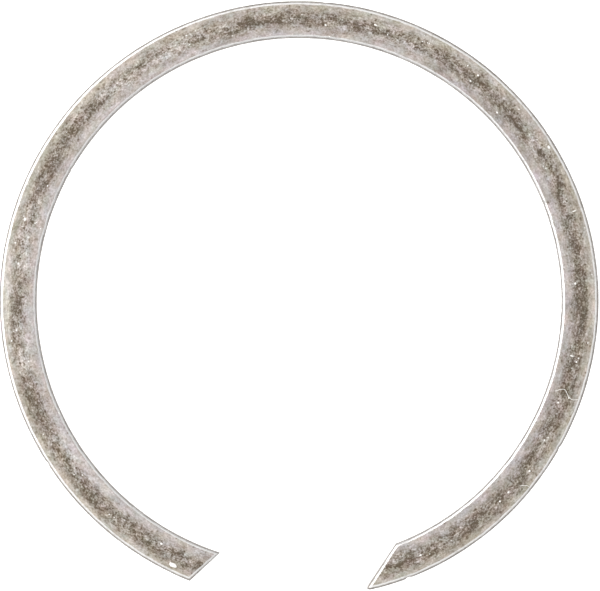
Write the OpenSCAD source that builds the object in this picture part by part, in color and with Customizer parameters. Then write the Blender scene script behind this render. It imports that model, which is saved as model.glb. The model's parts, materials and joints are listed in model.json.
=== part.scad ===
/* [Ring] */
// Outer diameter of the free ring, measured away from its ends
outer_d = 66; // [56:0.5:80]
// Width of the band in the plane of the ring
band_w = 4.08; // [3.4:0.02:5]
// Thickness of the band along the ring's axis
thickness = 2; // [1.6:0.1:3]
// Radius of the rounding along every long edge
edge_r = 0.42; // [0.2:0.02:0.6]

/* [Left end] */
// Angle of the left cut from the middle of the gap, at the band's mean radius
left_gap = 19.3; // [15:0.1:24]
// Slant of the left cut away from a straight radial cut
left_slant = 27.5; // [10:0.5:40]
// How much wider the left quarter of the ring is bent than the rest, as extra radius
left_opening = 0.28; // [0:0.02:1]

/* [Right end] */
// Angle of the right cut from the middle of the gap, at the band's mean radius
right_gap = 16.3; // [14:0.1:24]
// Slant of the right cut away from a straight radial cut
right_slant = 49.4; // [40:0.2:52]
// How much tighter the right end is bent than the rest, as lost radius
right_closing = 1.2; // [0:0.05:2]
// Depth of the flat that blunts the sharp tip, measured along the tip's middle line
tip_flat = 0.5; // [0.3:0.05:0.8]

/* [Hidden] */
$fn = 96;

outer_r = outer_d / 2;
mean_r = outer_r - band_w / 2;
gap_middle = 270;
full_turn = 360;

// The band is three arcs. Each joint is tangent, because both centres lie on the joint's radius.
left_arc_from = 180;
left_centre = [left_opening, 0];
right_arc_to = -45;
right_centre = polar(right_closing, right_arc_to);

// Each end runs on past its cut by this angle before it is trimmed.
spare = 8;
trim_depth = 2 * band_w;
trim_length = 4 * band_w;

// The sharp tip is where the right cut's line meets the outer edge of the right end.
left_cut_at = polar(mean_r, gap_middle - left_gap);
left_cut_way = gap_middle - left_gap + 180 - left_slant;
right_cut_at = polar(mean_r, gap_middle + right_gap);
right_cut_way = gap_middle + right_gap + 180 - right_slant;
tip = edge_point(right_cut_at, right_cut_way, right_centre, outer_r - right_closing);
tip_edge_way = atan2(tip.y - right_centre.y, tip.x - right_centre.x) + 90 + full_turn;
tip_middle = (right_cut_way + tip_edge_way) / 2;

function polar(r, angle) = [r * cos(angle), r * sin(angle)];

// Where a line, followed backwards from a point inside a circle, meets that circle
function edge_point(point, way, centre, r) =
    let (
        back = polar(-1, way),
        offset = point - centre,
        along = offset * back
    )
    point + back * (sqrt(r * r - offset * offset + along * along) - along);

// Cross-section of the rolled wire: a rectangle with rounded corners
module band_section() {
    square([band_w - 2 * edge_r, thickness], center = true);
    square([band_w, thickness - 2 * edge_r], center = true);
    for (x = [-1, 1], y = [-1, 1])
        translate([x * (band_w / 2 - edge_r), y * (thickness / 2 - edge_r)])
            circle(r = edge_r);
}

module band_arc(centre, r, from, to) {
    translate(centre)
        rotate_extrude(angle = to - from, start = from)
            translate([r, 0]) band_section();
}

// What a cut takes off the band, seen along the cut: the cut face lies at x = 0,
// the waste at positive x, and the rounding of the two edges at negative x.
module trim_section() {
    difference() {
        translate([-edge_r, -thickness])
            square([trim_depth + edge_r, 2 * thickness]);
        translate([-2 * edge_r, edge_r - thickness / 2])
            square([2 * edge_r, thickness - 2 * edge_r]);
        for (y = [-1, 1])
            translate([-edge_r, y * (thickness / 2 - edge_r)])
                circle(r = edge_r);
    }
}

// A cut through a point, running at an angle, with the waste on the left of that way
module trim(at, way) {
    translate(at)
        rotate([90, 0, way + 90])
            linear_extrude(trim_length, center = true)
                trim_section();
}

module ring() {
    color("#a89f96")
        difference() {
            union() {
                band_arc(left_centre, mean_r + left_opening, left_arc_from,
                         gap_middle - left_gap + spare);
                band_arc([0, 0], mean_r, right_arc_to, left_arc_from);
                band_arc(right_centre, mean_r - right_closing,
                         gap_middle - full_turn + right_gap - spare, right_arc_to);
            }
            trim(left_cut_at, left_cut_way + 180);
            trim(right_cut_at, right_cut_way);
            trim(tip + polar(tip_flat, tip_middle), tip_middle + 90);
        }
}

ring();
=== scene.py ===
import json
import math
import random

import bmesh
import bpy
from mathutils import Matrix, Vector


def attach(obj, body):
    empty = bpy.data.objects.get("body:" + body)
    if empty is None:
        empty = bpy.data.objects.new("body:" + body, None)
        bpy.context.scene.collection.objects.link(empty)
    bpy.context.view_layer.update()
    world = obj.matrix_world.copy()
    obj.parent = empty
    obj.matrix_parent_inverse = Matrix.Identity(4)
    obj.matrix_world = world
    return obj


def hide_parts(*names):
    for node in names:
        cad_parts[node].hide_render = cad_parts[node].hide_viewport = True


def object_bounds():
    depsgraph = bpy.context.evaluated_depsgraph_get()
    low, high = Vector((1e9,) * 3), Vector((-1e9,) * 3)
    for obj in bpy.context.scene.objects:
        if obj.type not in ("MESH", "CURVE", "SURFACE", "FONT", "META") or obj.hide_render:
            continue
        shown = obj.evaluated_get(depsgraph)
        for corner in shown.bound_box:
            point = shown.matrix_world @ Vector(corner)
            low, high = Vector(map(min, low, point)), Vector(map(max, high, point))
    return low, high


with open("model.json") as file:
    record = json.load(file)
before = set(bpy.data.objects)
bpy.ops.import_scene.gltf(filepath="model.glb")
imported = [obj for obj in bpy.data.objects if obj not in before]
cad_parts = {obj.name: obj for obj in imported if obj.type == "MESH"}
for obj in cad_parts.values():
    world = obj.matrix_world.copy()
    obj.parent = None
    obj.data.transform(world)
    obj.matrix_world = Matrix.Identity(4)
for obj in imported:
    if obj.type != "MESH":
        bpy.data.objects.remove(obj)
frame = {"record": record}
cad_low, cad_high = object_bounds()

# ---- Camera -------------------------------------------------------------------------------------
# A long lens straight above the ring, which fills the picture's width.
# The ring's centre sits a little left of the picture's middle and a little below it.
MM = 0.001
mounts = {mount["name"]: mount for mount in frame["record"]["mounts"]}
outer_r = mounts["groove_seat"]["dims"]["r_mm"] * MM
wall_h = mounts["groove_seat"]["dims"]["length_mm"] * MM

camera_height = 0.6
# The picture is a touch wider than the ring.
RING_TO_PICTURE = 1.00127
picture_w = 2 * outer_r * RING_TO_PICTURE
picture_middle = (0.10 * MM, 0.55 * MM)

camera = bpy.data.cameras.new("camera")
camera.sensor_width = 36
camera.lens = camera.sensor_width * (camera_height - wall_h / 2) / picture_w
camera_rig = bpy.data.objects.new("camera", camera)
camera_rig.location = (*picture_middle, camera_height)
bpy.context.scene.collection.objects.link(camera_rig)
bpy.context.scene.camera = camera_rig
bpy.context.scene.view_settings.view_transform = "Standard"


# ---- Light table --------------------------------------------------------------------------------
# The ring lies on a light table: a sheet of opal acrylic, lit from below until it is blank white.
# Its glow fills the shadow that the ring would throw.
def linear(hex_colour):
    """An sRGB hex colour as linear RGBA"""
    parts = [int(hex_colour[i : i + 2], 16) / 255 for i in (1, 3, 5)]
    return (*(c / 12.92 if c <= 0.04045 else ((c + 0.055) / 1.055) ** 2.4 for c in parts), 1)


def add_node(tree, kind, *values, inputs=None, **settings):
    """Adds a node. Values go to its sockets in order and inputs by name.

    A node stands for its first output, and None leaves a socket as it is.
    """
    node = tree.nodes.new(kind)
    for name, value in settings.items():
        setattr(node, name, value)
    for key, value in [*enumerate(values), *(inputs or {}).items()]:
        source = value.outputs[0] if isinstance(value, bpy.types.Node) else value
        if isinstance(source, bpy.types.NodeSocket):
            tree.links.new(source, node.inputs[key])
        elif source is not None:
            node.inputs[key].default_value = source
    return node


table_w = 3.0
table_top = cad_low.z
TABLE_GLOW = 0.8
HAZE_SIZE = 25 * MM
# Opal acrylic is milky and dull, so it shows no image of the ring. How dull varies in soft patches.
opal_acrylic = bpy.data.materials.new("opal_acrylic")
opal_acrylic.use_nodes = True
tree = opal_acrylic.node_tree
tree.nodes.clear()
place = add_node(tree, "ShaderNodeTexCoord").outputs["Object"]
haze = add_node(tree, "ShaderNodeTexNoise", inputs={"Vector": place, "Scale": 1 / HAZE_SIZE})
dullness = add_node(tree, "ShaderNodeMapRange", haze, 0, 1, 0.75, 0.9)
acrylic = add_node(tree, "ShaderNodeBsdfPrincipled", inputs={
    "Base Color": linear("#f1f1f0"), "Roughness": dullness,
    "Emission Color": (1, 1, 1, 1), "Emission Strength": TABLE_GLOW})
add_node(tree, "ShaderNodeOutputMaterial", acrylic)

table_mesh = bpy.data.meshes.new("light_table")
half = table_w / 2
corners = [(x * half, y * half, table_top) for x, y in ((-1, -1), (1, -1), (1, 1), (-1, 1))]
table_mesh.from_pydata(corners, [], [(0, 1, 2, 3)])
table_mesh.materials.append(opal_acrylic)
table = bpy.data.objects.new("light_table", table_mesh)
bpy.context.scene.collection.objects.link(table)


# ---- Light --------------------------------------------------------------------------------------
# A white tent: bright overhead and on the left, and greyer low down.
# One large soft lamp stands at the left, so that side of the ring is a little lighter.
tent = bpy.data.worlds.new("tent")
tent.use_nodes = True
tree = tent.node_tree
tree.nodes.clear()
towards = add_node(tree, "ShaderNodeTexCoord").outputs["Generated"]
heading = add_node(tree, "ShaderNodeSeparateXYZ", towards)
# Each stop's place and grey: from the table's level up, then a gain on that from left to right
TENT_RISE = ((0.0, 0.34), (0.3, 0.55), (0.6, 0.95), (1.0, 1.06))
TENT_SIDES = ((0.0, 1.35), (0.3, 1.08), (0.6, 1.02), (0.85, 0.94), (1.0, 0.90))
sideways = add_node(tree, "ShaderNodeMapRange", heading.outputs["X"], -1, 1, 0, 1)
greys = []
for height_or_side, stops in ((heading.outputs["Z"], TENT_RISE), (sideways, TENT_SIDES)):
    greys.append(add_node(tree, "ShaderNodeValToRGB", height_or_side))
    ramp = greys[-1].color_ramp
    for position, _ in stops[1:-1]:
        ramp.elements.new(position)
    for element, (_, grey) in zip(ramp.elements, stops):
        element.color = (grey, grey, grey, 1)
tent_light = add_node(tree, "ShaderNodeBackground", *greys)
# The camera itself sees blank white behind the table.
blank = add_node(tree, "ShaderNodeBackground", (1, 1, 1, 1), 1.0)
seen = add_node(tree, "ShaderNodeLightPath").outputs["Is Camera Ray"]
either = add_node(tree, "ShaderNodeMixShader", seen, tent_light, blank)
add_node(tree, "ShaderNodeOutputWorld", either)
bpy.context.scene.world = tent

lamp_data = bpy.data.lights.new("lamp_left", "AREA")
lamp_data.shape = "RECTANGLE"
lamp_data.size, lamp_data.size_y = 0.50, 0.42
lamp_data.energy = 1.15
lamp = bpy.data.objects.new("lamp_left", lamp_data)
lamp.location = (-0.31, 0.10, 0.235)
lamp.rotation_euler = (-lamp.location).to_track_quat("-Z", "Y").to_euler()
bpy.context.scene.collection.objects.link(lamp)


# ---- Ring ---------------------------------------------------------------------------------------
# A spring ring of flat rolled wire with rounded edges: hardened spring steel, coiled and then
# sheared on a slant at both ends. Its left end springs out a little and its right end in.
through_r = mounts["through_hole"]["dims"]["r_mm"] * MM
mean_r = (outer_r + through_r) / 2
thickness = cad_high.z - cad_low.z
# The gaps, slants and flares are those of the part's source, because the frame doesn't hold them.
SIZES = {
    "Mean radius": mean_r,
    "Band width": outer_r - through_r,
    "Thickness": thickness,
    "Edge radius": (thickness - wall_h) / 2,
    "Left gap": math.radians(19.3),
    "Left slant": math.radians(27.5),
    "Left flare from": math.radians(180),
    "Left flare": 0.28 * MM,
    "Right gap": math.radians(16.3),
    "Right slant": math.radians(49.4),
    "Right flare from": math.radians(-45),
    "Right flare": -1.2 * MM,
    "Tip blunting": 0.4 * MM,
    "Tip reach": 1.0 * MM,
    "Waviness": 0.03 * MM,
    "Pitting": 0.02 * MM,
}
COUNTS = {"Rows along": 1150, "Rows across": 35, "Rows up": 5, "Edge rows": 6}

# Knocks on the edges: clock angle in degrees, place across the band, length and depth in millimetres
KNOCKS = (
    (-68.5, 2.0, 0.30, 0.16),
    (-29.5, 2.0, 0.35, 0.07),
    (21.5, -2.0, 0.30, 0.07),
    (85, 2.0, 0.30, 0.05),
    (150, -2.0, 0.35, 0.09),
    (152.5, -2.0, 0.25, 0.08),
    (213, 2.0, 0.30, 0.08),
)

# Where the oxide is heavier or, below 0, rubbed thin: clock angle in degrees, place across, length
# and width in millimetres, and strength
STAINED = (
    (-55, 0.6, 7, 1.1, 0.16), (-40, -0.6, 14, 0.8, 0.12), (-40, 0.7, 14, 0.7, 0.12),
    (-25, 0.2, 5, 0.9, -0.12), (0, 0.1, 7, 1, 0.12), (20, 0.4, 2.5, 0.6, -0.1),
    (40, -0.3, 8, 1.3, 0.1), (45, -1.5, 16, 0.7, 0.18), (60, -1.2, 2.5, 0.6, 0.16),
    (75, 0, 5, 1, 0.08), (115, 0.1, 7, 1.3, -0.34), (130, -0.1, 7, 1.3, -0.36),
    (135, 1, 14, 0.6, -0.18), (155, 0.3, 5, 0.9, 0.05), (165, 0, 9, 1.6, -0.22),
    (180, 0.2, 4, 0.9, 0.1), (180, 1.3, 12, 0.5, -0.16), (190, -0.3, 7, 1.4, -0.2),
    (195, 0, 5, 0.9, -0.08), (205, 0.8, 5, 0.7, 0.1), (215, -0.9, 9, 0.9, -0.26),
    (215, 0.2, 5, 0.8, -0.06), (220, -0.15, 10, 0.5, -0.18), (220, 1.4, 13, 0.45, -0.22),
    (225, 0.8, 7, 0.8, 0.2), (240, 0.8, 6, 0.8, 0.24),
)
# Single dark pits in the oxide, given in the same way
PITS = (
    (21.5, -1.5, 0.4, 0.25, 0.5), (88, -1.3, 0.35, 0.25, 0.4), (101, -1.4, 0.3, 0.25, 0.4),
    (113.5, 0.9, 0.3, 0.25, 0.4), (116, -0.8, 0.3, 0.25, 0.4), (144, -0.9, 0.3, 0.3, 0.4),
    (149, -0.8, 0.25, 0.25, 0.4), (167, -1.3, 0.35, 0.35, 0.4), (188, -1, 0.3, 0.25, 0.4),
    (189.5, -1.3, 0.25, 0.25, 0.4), (199.5, -0.4, 0.3, 0.25, 0.4), (227.5, 1.5, 0.3, 0.25, 0.4),
)

tree = bpy.data.node_groups.new("rolled_ring", "GeometryNodeTree")
for name, value in SIZES.items():
    tree.interface.new_socket(name, in_out="INPUT", socket_type="NodeSocketFloat").default_value = value
for name, value in COUNTS.items():
    tree.interface.new_socket(name, in_out="INPUT", socket_type="NodeSocketInt").default_value = value
tree.interface.new_socket("Material", in_out="INPUT", socket_type="NodeSocketMaterial")
tree.interface.new_socket("Geometry", in_out="OUTPUT", socket_type="NodeSocketGeometry")
given = add_node(tree, "NodeGroupInput").outputs

# A block of fine cells is bent into the ring. Its X runs from the left end to the right end,
# its Y from the inner edge to the outer edge, and its Z up through the thickness.
rows = [given[name] for name in ("Rows along", "Rows across", "Rows up")]
block = add_node(tree, "GeometryNodeMeshCube", (2, 2, 2), *rows)
block_place = add_node(tree, "GeometryNodeInputPosition")
along, across, up = add_node(tree, "ShaderNodeSeparateXYZ", block_place).outputs

# Steps are even over the flat of the band, then of equal angle over the rounding. "In" is how far
# a place on the rounding lies from the outline, and "turn" how far it has turned over.
turns, ins, flats, lengths = {}, {}, {}, {}
for way, place in (("across", across), ("along", along)):
    edge_rows = add_node(tree, "ShaderNodeMath", given["Edge rows"], 2, operation="MULTIPLY")
    cells = add_node(tree, "ShaderNodeMath", given["Rows " + way], 1, operation="SUBTRACT")
    edge_share = add_node(tree, "ShaderNodeMath", edge_rows, cells, operation="DIVIDE")
    flats[way] = add_node(tree, "ShaderNodeMath", 1, edge_share, operation="SUBTRACT")
    lengths[way] = add_node(tree, "ShaderNodeMath", place, operation="ABSOLUTE")
    turns[way] = add_node(tree, "ShaderNodeMapRange", lengths[way], flats[way], 1, 0, math.pi / 2)
    sine = add_node(tree, "ShaderNodeMath", turns[way], operation="SINE")
    gone = add_node(tree, "ShaderNodeMath", sine, given["Edge radius"], operation="MULTIPLY")
    ins[way] = add_node(tree, "ShaderNodeMath", given["Edge radius"], gone, operation="SUBTRACT")

# Place across the band, from its middle line
half_band = add_node(tree, "ShaderNodeMath", given["Band width"], 0.5, operation="MULTIPLY")
on_flat = add_node(tree, "ShaderNodeMapRange", lengths["across"], 0, flats["across"], half_band,
                   given["Edge radius"])
on_round = add_node(tree, "ShaderNodeMath", lengths["across"], flats["across"], operation="GREATER_THAN")
side_in = add_node(tree, "ShaderNodeMix", on_round, inputs={2: on_flat, 3: ins["across"]})
from_middle = add_node(tree, "ShaderNodeMath", half_band, side_in, operation="SUBTRACT")
side_sign = add_node(tree, "ShaderNodeMath", across, operation="SIGN")
offset = add_node(tree, "ShaderNodeMath", from_middle, side_sign, operation="MULTIPLY")

# Cross rows stand radially along the ring and lean over to the slant of each cut near it, over
# this share of half the ring's length.
LEAN_SHARE = 0.14
lean_from = add_node(tree, "ShaderNodeMath", flats["along"], LEAN_SHARE, operation="SUBTRACT")
lean = add_node(tree, "ShaderNodeMapRange", lengths["along"], lean_from, flats["along"], 0, 1,
                interpolation_type="SMOOTHSTEP")
leaning = add_node(tree, "ShaderNodeMath", offset, lean, given["Mean radius"], operation="MULTIPLY_ADD")

# Each cut is a straight line that crosses the middle line at its gap angle. An end's way is 1 on
# the left and -1 on the right, and its gap angle is counted from the middle of the gap.
ENDS = (("Left", 1, math.radians(270)), ("Right", -1, math.radians(-90)))
cut_angles = []
for end, way, gap_middle in ENDS:
    sine = add_node(tree, "ShaderNodeMath", given[end + " slant"], operation="SINE")
    cut_gone = add_node(tree, "ShaderNodeMath", ins["along"], -way, operation="MULTIPLY")
    line = add_node(tree, "ShaderNodeMath", given["Mean radius"], sine, cut_gone, operation="MULTIPLY_ADD")
    # The end stands off the ring's circle by its flare, which the cut allows for.
    stop_angle = add_node(tree, "ShaderNodeMath", given[end + " gap"], -way, gap_middle,
                          operation="MULTIPLY_ADD")
    past = add_node(tree, "ShaderNodeMath", stop_angle, given[end + " flare from"], operation="SUBTRACT")
    cosine = add_node(tree, "ShaderNodeMath", past, operation="COSINE")
    bend = add_node(tree, "ShaderNodeMath", 1, cosine, operation="SUBTRACT")
    end_r = add_node(tree, "ShaderNodeMath", given[end + " flare"], bend, leaning, operation="MULTIPLY_ADD")
    ratio = add_node(tree, "ShaderNodeMath", line, end_r, operation="DIVIDE")
    stands = add_node(tree, "ShaderNodeMath", ratio, operation="ARCSINE")
    swing = add_node(tree, "ShaderNodeMath", given[end + " slant"], stands, operation="SUBTRACT")
    gap = add_node(tree, "ShaderNodeMath", swing, way, given[end + " gap"], operation="MULTIPLY_ADD")
    cut_angles.append(add_node(tree, "ShaderNodeMath", gap, -way, gap_middle, operation="MULTIPLY_ADD"))
flat_start = add_node(tree, "ShaderNodeMath", flats["along"], -1, operation="MULTIPLY")
angle = add_node(tree, "ShaderNodeMapRange", along, flat_start, flats["along"], *cut_angles)

# The left end springs outwards and the right end inwards, each along an arc of another radius.
radius = add_node(tree, "ShaderNodeMath", given["Mean radius"], offset, operation="ADD")
for end, way, gap_middle in ENDS:
    past = add_node(tree, "ShaderNodeMath", angle, given[end + " flare from"], operation="SUBTRACT")
    towards_end = add_node(tree, "ShaderNodeMath", past, way, operation="MULTIPLY")
    only_past = add_node(tree, "ShaderNodeMath", towards_end, 0, operation="MAXIMUM")
    cosine = add_node(tree, "ShaderNodeMath", only_past, operation="COSINE")
    bend = add_node(tree, "ShaderNodeMath", 1, cosine, operation="SUBTRACT")
    radius = add_node(tree, "ShaderNodeMath", given[end + " flare"], bend, radius, operation="MULTIPLY_ADD")

half_wall = add_node(tree, "ShaderNodeMath", given["Thickness"], 0.5, operation="MULTIPLY")
half_wall = add_node(tree, "ShaderNodeMath", half_wall, given["Edge radius"], operation="SUBTRACT")
upright = [add_node(tree, "ShaderNodeMath", turns[way], operation="COSINE") for way in ("across", "along")]
upright = add_node(tree, "ShaderNodeMath", *upright, operation="MULTIPLY")
top = add_node(tree, "ShaderNodeMath", upright, given["Edge radius"], half_wall, operation="MULTIPLY_ADD")
height = add_node(tree, "ShaderNodeMath", top, up, operation="MULTIPLY")
flat_place = [add_node(tree, "ShaderNodeMath", angle, operation=part) for part in ("COSINE", "SINE")]
flat_place = [add_node(tree, "ShaderNodeMath", part, radius, operation="MULTIPLY") for part in flat_place]
bent = add_node(tree, "ShaderNodeCombineXYZ", *flat_place, height)

# What the finish follows: the place along, across and up the wire, and how far in it lies from the
# outline and from the nearer cut, all in millimetres. They are kept on the block before it is bent.
arc = add_node(tree, "ShaderNodeMath", angle, given["Mean radius"], operation="MULTIPLY")
wire_place = add_node(tree, "ShaderNodeCombineXYZ", arc, offset, height)
wire_place = add_node(tree, "ShaderNodeVectorMath", wire_place, inputs={"Scale": 1 / MM}, operation="SCALE")
from_cut = add_node(tree, "ShaderNodeMath", flats["along"], lengths["along"], operation="SUBTRACT")
from_cut = add_node(tree, "ShaderNodeMath", from_cut, 0, operation="MAXIMUM")
# A length along the wire, times this, is about that length measured square to a slanted cut.
SQUARE_TO_CUT = 0.77
whole_turn = add_node(tree, "ShaderNodeMath", *cut_angles, operation="SUBTRACT")
half_length = add_node(tree, "ShaderNodeMath", given["Mean radius"], whole_turn, operation="MULTIPLY")
half_length = add_node(tree, "ShaderNodeMath", half_length, SQUARE_TO_CUT / 2, operation="MULTIPLY")
cut_in = add_node(tree, "ShaderNodeMath", from_cut, half_length, ins["along"], operation="MULTIPLY_ADD")
outline_in = add_node(tree, "ShaderNodeMath", side_in, cut_in, operation="MINIMUM")
# A stain goes right round the wire, so the underside is marked like the face.
stained = 0.0
for clock, stain_across, length, width, strength in STAINED + PITS:
    stain_at = Vector((math.radians(clock) * mean_r / MM, stain_across, 0))
    stain_size = (length, width, 2 * thickness / MM)
    away = add_node(tree, "ShaderNodeVectorMath", wire_place, stain_at, operation="SUBTRACT")
    away = add_node(tree, "ShaderNodeVectorMath", away, stain_size, operation="DIVIDE")
    away = add_node(tree, "ShaderNodeVectorMath", away, operation="LENGTH").outputs["Value"]
    stain = add_node(tree, "ShaderNodeMapRange", away, 0, 1, strength, 0, interpolation_type="SMOOTHSTEP")
    stained = add_node(tree, "ShaderNodeMath", stain, stained, operation="ADD")
kept = add_node(tree, "GeometryNodeStoreNamedAttribute", block, None, "wire", wire_place,
                data_type="FLOAT_VECTOR", domain="POINT")
for name, distance in (("outline_in", outline_in), ("cut_in", cut_in)):
    distance = add_node(tree, "ShaderNodeMath", distance, 1 / MM, operation="MULTIPLY")
    kept = add_node(tree, "GeometryNodeStoreNamedAttribute", kept, None, name, distance,
                    data_type="FLOAT", domain="POINT")
kept = add_node(tree, "GeometryNodeStoreNamedAttribute", kept, None, "stained", stained,
                data_type="FLOAT", domain="POINT")
shape = add_node(tree, "GeometryNodeSetPosition", kept, None, bent)


def polar(r, angle):
    """The point at a radius and an angle in radians from the ring's centre"""
    return Vector((r * math.cos(angle), r * math.sin(angle), 0))


# The sharp tip is rubbed blunt: what lies near it is drawn back along the tip's middle line. The
# tip is where the right cut meets the outer edge of the right end.
end_centre = polar(-SIZES["Right flare"], SIZES["Right flare from"])
cut_at = polar(mean_r, SIZES["Right gap"] - math.pi / 2)
cut_way = SIZES["Right gap"] - SIZES["Right slant"] + math.pi / 2
reach = cut_at - end_centre
back = reach.dot(polar(-1, cut_way))
end_outer_r = outer_r + SIZES["Right flare"]
to_tip = math.sqrt(end_outer_r**2 - reach.length_squared + back**2) - back
tip = cut_at + polar(-1, cut_way) * to_tip
edge_way = math.atan2(tip.y - end_centre.y, tip.x - end_centre.x) + math.pi / 2
inwards = polar(1, (cut_way + edge_way) / 2)
# Above 1, the blunting is strongest right at the tip and dies away towards the tip's reach.
BLUNT_POWER = 2.3
ring_place = add_node(tree, "GeometryNodeInputPosition")
in_plan = add_node(tree, "ShaderNodeVectorMath", ring_place, (1, 1, 0), operation="MULTIPLY")
from_tip = add_node(tree, "ShaderNodeVectorMath", in_plan, tip, operation="DISTANCE").outputs["Value"]
near_tip = add_node(tree, "ShaderNodeMapRange", from_tip, 0, given["Tip reach"], 1, 0)
drawn = add_node(tree, "ShaderNodeMath", near_tip, BLUNT_POWER, operation="POWER")
drawn = add_node(tree, "ShaderNodeMath", drawn, given["Tip blunting"], operation="MULTIPLY")
pull = add_node(tree, "ShaderNodeVectorMath", inwards, inputs={"Scale": drawn}, operation="SCALE")
shape = add_node(tree, "GeometryNodeSetPosition", shape, None, None, pull)

# Wear moves the surface along its normal: slow waves from rolling, shallow pits, and the knocks.
wire = add_node(tree, "GeometryNodeInputNamedAttribute", "wire", data_type="FLOAT_VECTOR")
# Sizes are along, across and up the wire in millimetres. A knock fades out at this many of its
# lengths from its middle.
WAVE_SIZE = (3.2, 1.3, 1.3)
PIT_SIZE = (0.9, 0.6, 0.6)
KNOCK_REACH = 1.5
wave_place = add_node(tree, "ShaderNodeVectorMath", wire, WAVE_SIZE, operation="DIVIDE")
wave = add_node(tree, "ShaderNodeTexNoise", inputs={"Vector": wave_place, "Scale": 1, "Detail": 4})
waving = add_node(tree, "ShaderNodeMapRange", wave, 0.25, 0.75, -1, 0)
wear = add_node(tree, "ShaderNodeMath", waving, given["Waviness"], operation="MULTIPLY")
pit_place = add_node(tree, "ShaderNodeVectorMath", wire, PIT_SIZE, operation="DIVIDE")
pit = add_node(tree, "ShaderNodeTexNoise", inputs={"Vector": pit_place, "Scale": 1, "Detail": 1})
pitted = add_node(tree, "ShaderNodeMapRange", pit, 0.62, 0.75, 0, -1)
wear = add_node(tree, "ShaderNodeMath", pitted, given["Pitting"], wear, operation="MULTIPLY_ADD")
for clock, knock_across, length, depth in KNOCKS:
    knock_at = Vector((math.radians(clock) * mean_r / MM, knock_across, thickness / 2 / MM))
    knock_size = Vector((length, length, thickness / MM))
    away = add_node(tree, "ShaderNodeVectorMath", wire, knock_at, operation="SUBTRACT")
    away = add_node(tree, "ShaderNodeVectorMath", away, knock_size, operation="DIVIDE")
    away = add_node(tree, "ShaderNodeVectorMath", away, operation="LENGTH").outputs["Value"]
    knocked = add_node(tree, "ShaderNodeMapRange", away, 0, KNOCK_REACH, 1, 0,
                       interpolation_type="SMOOTHERSTEP")
    wear = add_node(tree, "ShaderNodeMath", knocked, -depth * MM, wear, operation="MULTIPLY_ADD")
normal = add_node(tree, "GeometryNodeInputNormal")
worn = add_node(tree, "ShaderNodeVectorMath", normal, inputs={"Scale": wear}, operation="SCALE")
shape = add_node(tree, "GeometryNodeSetPosition", shape, None, None, worn)

whole = add_node(tree, "GeometryNodeRealizeInstances", shape)
finish = add_node(tree, "GeometryNodeSetMaterial", whole, None, given["Material"])
add_node(tree, "NodeGroupOutput", finish)

# Hardened spring steel, rolled and left oily in use: a thin brown oxide, heaviest along the middle
# of the face and mottled like a stain, thinning to warm grey at its edges. The corners are rubbed
# to bright metal and carry a painted highlight, and the walls are dull grey, which runs onto the outer
# rounding as painted shade.
spring_steel = bpy.data.materials.new("spring_steel")
spring_steel.use_nodes = True
tree = spring_steel.node_tree
tree.nodes.clear()
wire = add_node(tree, "ShaderNodeAttribute", attribute_name="wire").outputs["Vector"]
outline_in = add_node(tree, "ShaderNodeAttribute", attribute_name="outline_in").outputs["Fac"]
across_mm = add_node(tree, "ShaderNodeSeparateXYZ", wire).outputs["Y"]

# The brown middle band wanders and thickens slowly along the wire. Its shift is towards the outer
# edge in millimetres, its depth is a change of tone, and stains are this strong off it and in it.
BAND_WANDER = (9.0, 50.0, 50.0)
BAND_HALF_W = 0.95
BAND_SHIFT = (-0.3, 0.5)
BAND_DEPTH = (-0.30, -0.42)
CROWDING = (0.5, 1.2)
band_place = add_node(tree, "ShaderNodeVectorMath", wire, BAND_WANDER, operation="DIVIDE")
band = add_node(tree, "ShaderNodeTexNoise", inputs={"Vector": band_place, "Scale": 1, "Detail": 1})
band_shift = add_node(tree, "ShaderNodeMapRange", band.outputs["Fac"], 0.2, 0.8, *BAND_SHIFT)
band_depth = add_node(tree, "ShaderNodeMapRange", band.outputs["Color"], 0.3, 0.7, *BAND_DEPTH)
off_band = add_node(tree, "ShaderNodeMath", across_mm, band_shift, operation="SUBTRACT")
off_band = add_node(tree, "ShaderNodeMath", off_band, BAND_HALF_W, operation="DIVIDE")
off_band = add_node(tree, "ShaderNodeMath", off_band, 2, operation="POWER")
off_band = add_node(tree, "ShaderNodeMath", off_band, -1, operation="MULTIPLY")
in_band = add_node(tree, "ShaderNodeMath", off_band, operation="EXPONENT")
crowding = add_node(tree, "ShaderNodeMapRange", in_band, 0, 1, *CROWDING)

# Each layer of stain: its grain along, across and up the wire in millimetres, and its strength
STAINS = (
    ((11.0, 2.2, 2.2), 0.12),
    ((2.2, 0.9, 0.9), 0.25),
    ((0.6, 0.45, 0.45), 0.28),
    ((0.25, 0.2, 0.2), 0.38),
    ((0.14, 0.13, 0.13), 0.26),
    ((1.6, 0.11, 0.11), 0.10),
)
STAIN_SPREAD = (0.2, 0.8)
mottle = 0.0
for size, strength in STAINS:
    stain_place = add_node(tree, "ShaderNodeVectorMath", wire, size, operation="DIVIDE")
    stain = add_node(tree, "ShaderNodeTexNoise", inputs={"Vector": stain_place, "Scale": 1, "Detail": 2})
    stain = add_node(tree, "ShaderNodeMapRange", stain, *STAIN_SPREAD, -strength, strength, clamp=False)
    mottle = add_node(tree, "ShaderNodeMath", stain, mottle, operation="ADD")

# The tone runs from 0, heavy oxide, to 1, clean metal. It starts from that of the clean face.
CLEAN_TONE = 0.63
tone = add_node(tree, "ShaderNodeMath", mottle, crowding, CLEAN_TONE, operation="MULTIPLY_ADD")
tone = add_node(tree, "ShaderNodeMath", in_band, band_depth, tone, operation="MULTIPLY_ADD")
stained = add_node(tree, "ShaderNodeAttribute", attribute_name="stained").outputs["Fac"]
tone = add_node(tree, "ShaderNodeMath", tone, stained, operation="SUBTRACT")

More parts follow.
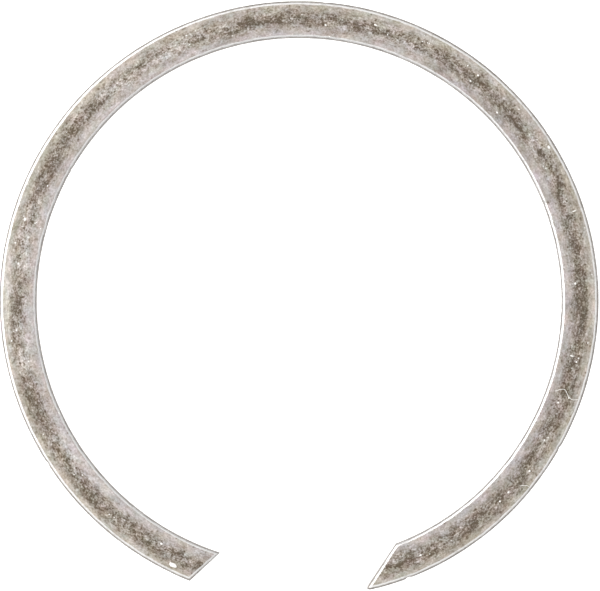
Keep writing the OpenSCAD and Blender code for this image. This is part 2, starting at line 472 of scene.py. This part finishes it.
# Spots crowd into the band. Each kind: its spacing and radius in millimetres, the share of places
# that have one, and its change of tone
SPOTS = (
    (0.55, 0.15, 0.50, -0.40),
    (0.9, 0.20, 0.40, -0.26),
    (0.6, 0.13, 0.34, 0.24),
)
for spacing, spot_r, share, change in SPOTS:
    places = add_node(tree, "ShaderNodeTexVoronoi", inputs={"Vector": wire, "Scale": 1 / spacing})
    lot = add_node(tree, "ShaderNodeSeparateXYZ", places.outputs["Color"]).outputs["X"]
    has_spot = add_node(tree, "ShaderNodeMath", lot, share, operation="LESS_THAN")
    spot = add_node(tree, "ShaderNodeMapRange", places.outputs["Distance"], spot_r / spacing / 2,
                    spot_r / spacing, change, 0, interpolation_type="SMOOTHSTEP")
    has_spot = add_node(tree, "ShaderNodeMath", has_spot, crowding, operation="MULTIPLY")
    tone = add_node(tree, "ShaderNodeMath", spot, has_spot, tone, operation="MULTIPLY_ADD")

# The oxide's colour at each tone
OXIDE_COLOURS = ((0.03, "#665b4f"), (0.18, "#7d7267"), (0.38, "#999086"), (0.52, "#aca49c"),
                 (0.66, "#bcb5af"), (0.82, "#cec8c3"), (0.96, "#dfdad5"))
oxide = add_node(tree, "ShaderNodeValToRGB", tone)
ramp = oxide.color_ramp
for position, _ in OXIDE_COLOURS[1:-1]:
    ramp.elements.new(position)
for element, (position, colour) in zip(ramp.elements, OXIDE_COLOURS):
    element.position = position
    element.color = linear(colour)

# Old oil tints the oxide in blotches, which swing its red and blue by this share, and it has
# yellowed the outer side of the face more.
OIL_SIZE = (1.6, 0.9, 0.9)
OIL_TINT = Vector((0.26, 0.0, 0.26))
oil_place = add_node(tree, "ShaderNodeVectorMath", wire, OIL_SIZE, operation="DIVIDE")
oil = add_node(tree, "ShaderNodeTexNoise", inputs={"Vector": oil_place, "Scale": 1, "Detail": 2})
blotches = add_node(tree, "ShaderNodeVectorMath", oil.outputs["Color"], OIL_TINT,
                    Vector((1, 1, 1)) - OIL_TINT / 2, operation="MULTIPLY_ADD")
oxide = add_node(tree, "ShaderNodeVectorMath", oxide, blotches, operation="MULTIPLY")
blue_left = add_node(tree, "ShaderNodeMapRange", across_mm, -1.5, 1.5, 1.04, 0.96)
yellowing = add_node(tree, "ShaderNodeCombineXYZ", 1, 1, blue_left)
oxide = add_node(tree, "ShaderNodeVectorMath", oxide, yellowing, operation="MULTIPLY")

# The corners carry a near-white line, partly metal rubbed bright and partly a painted highlight that
# stands in for light caught on the edge roundings. Its place wanders with the rubbing. It comes in over the
# first stretch, in millimetres from the outline, and goes over the second.
RUB_AND_HIGHLIGHT_SIZE = (1.6, 40.0, 40.0)
RUB_AND_HIGHLIGHT_IN = (0.10, 0.22)
RUB_AND_HIGHLIGHT_OUT = (0.29, 0.41)
rub_and_highlight_place = add_node(tree, "ShaderNodeVectorMath", wire, RUB_AND_HIGHLIGHT_SIZE, operation="DIVIDE")
rub_and_highlight_noise = add_node(tree, "ShaderNodeTexNoise", inputs={"Vector": rub_and_highlight_place, "Scale": 1, "Detail": 2})
rub_and_highlight_shift = add_node(tree, "ShaderNodeMapRange", rub_and_highlight_noise, 0.25, 0.75, -0.05, 0.05)
# It reaches further in on the outer edge, which drags along the bore as the ring is fitted, and the painted
# highlight moves in with it.
outer_edge_shift = add_node(tree, "ShaderNodeMapRange", across_mm, -1, 1, 0.03, -0.05)
rub_and_highlight_shift = add_node(tree, "ShaderNodeMath", rub_and_highlight_shift, outer_edge_shift, operation="ADD")
rub_and_highlight_inset = add_node(tree, "ShaderNodeMath", outline_in, rub_and_highlight_shift, operation="ADD")
rub_and_highlight_start = add_node(tree, "ShaderNodeMapRange", rub_and_highlight_inset, *RUB_AND_HIGHLIGHT_IN, 0, 1,
                     interpolation_type="SMOOTHSTEP")
rub_and_highlight_stop = add_node(tree, "ShaderNodeMapRange", rub_and_highlight_inset, *RUB_AND_HIGHLIGHT_OUT, 1, 0,
                    interpolation_type="SMOOTHSTEP")
SCUFF_AND_HIGHLIGHT_SIZE = (0.5, 0.3, 0.3)
scuff_and_highlight_place = add_node(tree, "ShaderNodeVectorMath", wire, SCUFF_AND_HIGHLIGHT_SIZE, operation="DIVIDE")
scuff_and_highlight_noise = add_node(tree, "ShaderNodeTexNoise", inputs={"Vector": scuff_and_highlight_place, "Scale": 1, "Detail": 2})
scuffed_and_highlight = add_node(tree, "ShaderNodeMapRange", scuff_and_highlight_noise, 0.3, 0.5, 0.55, 1)
rubbed_and_highlight = add_node(tree, "ShaderNodeMath", rub_and_highlight_start, rub_and_highlight_stop, operation="MULTIPLY")
rubbed_and_highlight = add_node(tree, "ShaderNodeMath", rubbed_and_highlight, scuffed_and_highlight, operation="MULTIPLY")

# The walls carry fine draw marks along the wire and a fainter mottle. Their dull grey also covers
# the outermost rounding, partly the walls' own finish and partly painted shade that darkens the outline.
# The sheared ends never oxidised, so they are a little lighter.
WALL_AND_SHADE_EDGE = (0.08, 0.26)
SHEARED_EDGE = (0.10, 0.40)
MARK_SIZE = (5.0, 0.07, 0.07)
MOTTLE_ON_WALL = 0.6
SHEARED_GAIN = 0.15
# Painted shade: the wall grey is laid over the outermost rounding, so the outline reads darker.
wall_and_shade = add_node(tree, "ShaderNodeMapRange", outline_in, *WALL_AND_SHADE_EDGE, 1, 0,
                interpolation_type="SMOOTHSTEP")
cut_in = add_node(tree, "ShaderNodeAttribute", attribute_name="cut_in").outputs["Fac"]
sheared = add_node(tree, "ShaderNodeMapRange", cut_in, *SHEARED_EDGE, SHEARED_GAIN, 0,
                   interpolation_type="SMOOTHSTEP")
mark_place = add_node(tree, "ShaderNodeVectorMath", wire, MARK_SIZE, operation="DIVIDE")
marks = add_node(tree, "ShaderNodeTexNoise", inputs={"Vector": mark_place, "Scale": 1, "Detail": 2})
wall_tone = add_node(tree, "ShaderNodeMapRange", marks, 0.3, 0.7, 0.3, 0.7)
wall_tone = add_node(tree, "ShaderNodeMath", mottle, MOTTLE_ON_WALL, wall_tone, operation="MULTIPLY_ADD")
wall_tone = add_node(tree, "ShaderNodeMath", wall_tone, sheared, operation="ADD")
# The wall greys are kept dark, partly the walls' own dull steel and partly painted shade along the outline.
wall_colour = add_node(tree, "ShaderNodeMix", wall_tone, data_type="RGBA",
                       inputs={6: linear("#7e7975"), 7: linear("#bcb8b5")})
dull_wall_and_shade = add_node(tree, "ShaderNodeMix", wall_and_shade, data_type="RGBA",
                     inputs={6: oxide, 7: wall_colour.outputs[2]})
# Painted highlight: the near-white colour, brighter than bare steel, stands in for light caught on the
# roundings; the rest is rubbed metal.
colour = add_node(tree, "ShaderNodeMix", rubbed_and_highlight, data_type="RGBA",
                  inputs={6: dull_wall_and_shade.outputs[2], 7: linear("#f0efee")})

FACE_ROUGHNESS = 0.48
WALL_ROUGHNESS = 0.8
RUBBED_ROUGHNESS = 0.26
unrubbed = add_node(tree, "ShaderNodeMapRange", wall_and_shade, 0, 1, FACE_ROUGHNESS, WALL_ROUGHNESS)
roughness = add_node(tree, "ShaderNodeMapRange", rubbed_and_highlight, 0, 1, unrubbed, RUBBED_ROUGHNESS)
OXIDE_RELIEF = 0.03 * MM
relief = add_node(tree, "ShaderNodeBump", inputs={
    "Height": tone, "Strength": 0.35, "Distance": OXIDE_RELIEF})
steel = add_node(tree, "ShaderNodeBsdfPrincipled", inputs={
    "Base Color": colour.outputs[2], "Metallic": 1.0, "Roughness": roughness, "Normal": relief})
add_node(tree, "ShaderNodeOutputMaterial", steel)

maker = bpy.data.objects.new("ring_maker", bpy.data.meshes.new("ring_maker"))
bpy.context.scene.collection.objects.link(maker)
modifier = maker.modifiers.new("rolled_ring", "NODES")
modifier.node_group = bpy.data.node_groups["rolled_ring"]
sockets = {item.name: item.identifier for item in modifier.node_group.interface.items_tree
           if item.in_out == "INPUT"}
for name, value in {**SIZES, **COUNTS, "Material": spring_steel}.items():
    modifier[sockets[name]] = value
evaluated = maker.evaluated_get(bpy.context.evaluated_depsgraph_get())
ring_mesh = bpy.data.meshes.new_from_object(evaluated)
bpy.data.objects.remove(maker)
ring_mesh.name = "spring_ring"
ring_mesh.shade_smooth()
ring = bpy.data.objects.new("spring_ring", ring_mesh)
bpy.context.scene.collection.objects.link(ring)
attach(ring, "root")
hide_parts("ring")


# ---- Dust and lint ------------------------------------------------------------------------------
# Bits of white dust and two cotton fibres, stuck to the oily face of the ring.
# Each lies partly sunk in the film, so it stands only a few hundredths of a millimetre proud.
face_z = cad_high.z
dust = bmesh.new()
chance = random.Random(7)


def on_face(clock, place_across):
    """A point on the ring's upper face: clock angle in degrees, place across in millimetres"""
    place = polar(mean_r + place_across * MM, math.radians(clock))
    return Vector((place.x, place.y, face_z))


# Height of a grain in millimetres, half of it sunk in the film
GRAIN_H = 0.06


def add_grain(clock, place_across, length, width):
    """A flattened crumb with a rough outline. Its length runs along the wire, in millimetres."""
    grain = bmesh.ops.create_icosphere(dust, subdivisions=2, radius=0.5)["verts"]
    for vert in grain:
        vert.co *= chance.uniform(0.82, 1.12)
    squash = Matrix.Diagonal((width * MM, length * MM, GRAIN_H * MM, 1))
    turn = Matrix.Rotation(math.radians(clock), 4, "Z")
    lay = Matrix.Translation(on_face(clock, place_across))
    bmesh.ops.transform(dust, verts=grain, matrix=lay @ turn @ squash)


# The larger crumbs: clock angle in degrees, then place across, length and width in millimetres
CRUMBS = (
    (244.5, 1.3, 1.05, 0.48), (240.5, -0.2, 0.28, 0.24), (188, 1.0, 0.22, 0.2), (186, 0.3, 0.28, 0.22),
    (172.5, 0.2, 0.26, 0.22), (168.5, 0.9, 0.22, 0.22), (163.5, 0.5, 0.38, 0.3), (84.5, -0.5, 0.26, 0.22),
    (74.5, 0.5, 0.4, 0.2), (51.5, 0.7, 0.26, 0.24), (52, -0.3, 0.24, 0.2), (43.5, -0.9, 0.26, 0.2),
    (31.5, 1.3, 0.44, 0.26), (18, 0.9, 0.14, 0.5), (3.5, -0.5, 0.3, 0.24), (-11.5, -0.3, 0.16, 0.42),
    (-12.5, 0.3, 0.22, 0.2), (-21.5, -0.3, 0.26, 0.2), (-36.5, 0.6, 0.26, 0.22), (-42.5, 0.3, 0.3, 0.2),
    (-45, 0.3, 0.22, 0.22), (-64.5, 0.1, 0.34, 0.2),
)
for crumb in CRUMBS:
    add_grain(*crumb)

# Small grains all along the face, densest near its middle line
GRAINS = 45
for _ in range(GRAINS):
    size = chance.uniform(0.09, 0.17)
    add_grain(chance.uniform(-70, 246), chance.gauss(0.1, 0.8), size * chance.uniform(1, 1.5), size)

# Fibres: points as clock angle in degrees and place across in millimetres
FIBRES = (
    ((-19.5, -1.1), (-19, -0.7), (-18.5, -0.4), (-18.5, 0),
     (-19.5, 0.4), (-20, 0.8), (-20, 1.2), (-19.5, 1.6)),
    ((-40, 0.8), (-39.5, 1), (-39, 1.3), (-39, 1.6)),
)
FIBRE_R = 0.03
FIBRE_SIDES = 8
STEPS_BETWEEN = 6
for points in FIBRES:
    line = bpy.data.curves.new("fibre", "CURVE")
    line.dimensions = "3D"
    line.bevel_depth = FIBRE_R * MM
    line.bevel_resolution = (FIBRE_SIDES - 4) // 2
    line.use_fill_caps = True
    line.resolution_u = STEPS_BETWEEN
    spline = line.splines.new("NURBS")
    spline.points.add(len(points) - 1)
    for point, place in zip(spline.points, points):
        point.co = (*on_face(*place), 1)
    spline.use_endpoint_u = True
    spline.order_u = 4
    fibre = bpy.data.objects.new("fibre", line)
    fibre_mesh = fibre.to_mesh()
    dust.from_mesh(fibre_mesh)
    fibre.to_mesh_clear()
    bpy.data.objects.remove(fibre)
bmesh.ops.recalc_face_normals(dust, faces=dust.faces)

# Cotton dust is matt and white, slightly yellowed where the oil has soaked in.
cotton_dust = bpy.data.materials.new("cotton_dust")
cotton_dust.use_nodes = True
tree = cotton_dust.node_tree
tree.nodes.clear()
place = add_node(tree, "ShaderNodeTexCoord").outputs["Object"]
SOAK_SIZE = 0.3 * MM
soak = add_node(tree, "ShaderNodeTexNoise", inputs={"Vector": place, "Scale": 1 / SOAK_SIZE})
tint = add_node(tree, "ShaderNodeMix", soak, data_type="RGBA",
                inputs={6: linear("#f2efe9"), 7: linear("#fffefb")})
cotton = add_node(tree, "ShaderNodeBsdfPrincipled", inputs={"Base Color": tint.outputs[2], "Roughness": 0.9})
add_node(tree, "ShaderNodeOutputMaterial", cotton)

dust_mesh = bpy.data.meshes.new("dust")
dust.to_mesh(dust_mesh)
dust.free()
dust_mesh.materials.append(cotton_dust)
dust_mesh.shade_smooth()
dust_piece = bpy.data.objects.new("dust", dust_mesh)
bpy.context.scene.collection.objects.link(dust_piece)
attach(dust_piece, "root")
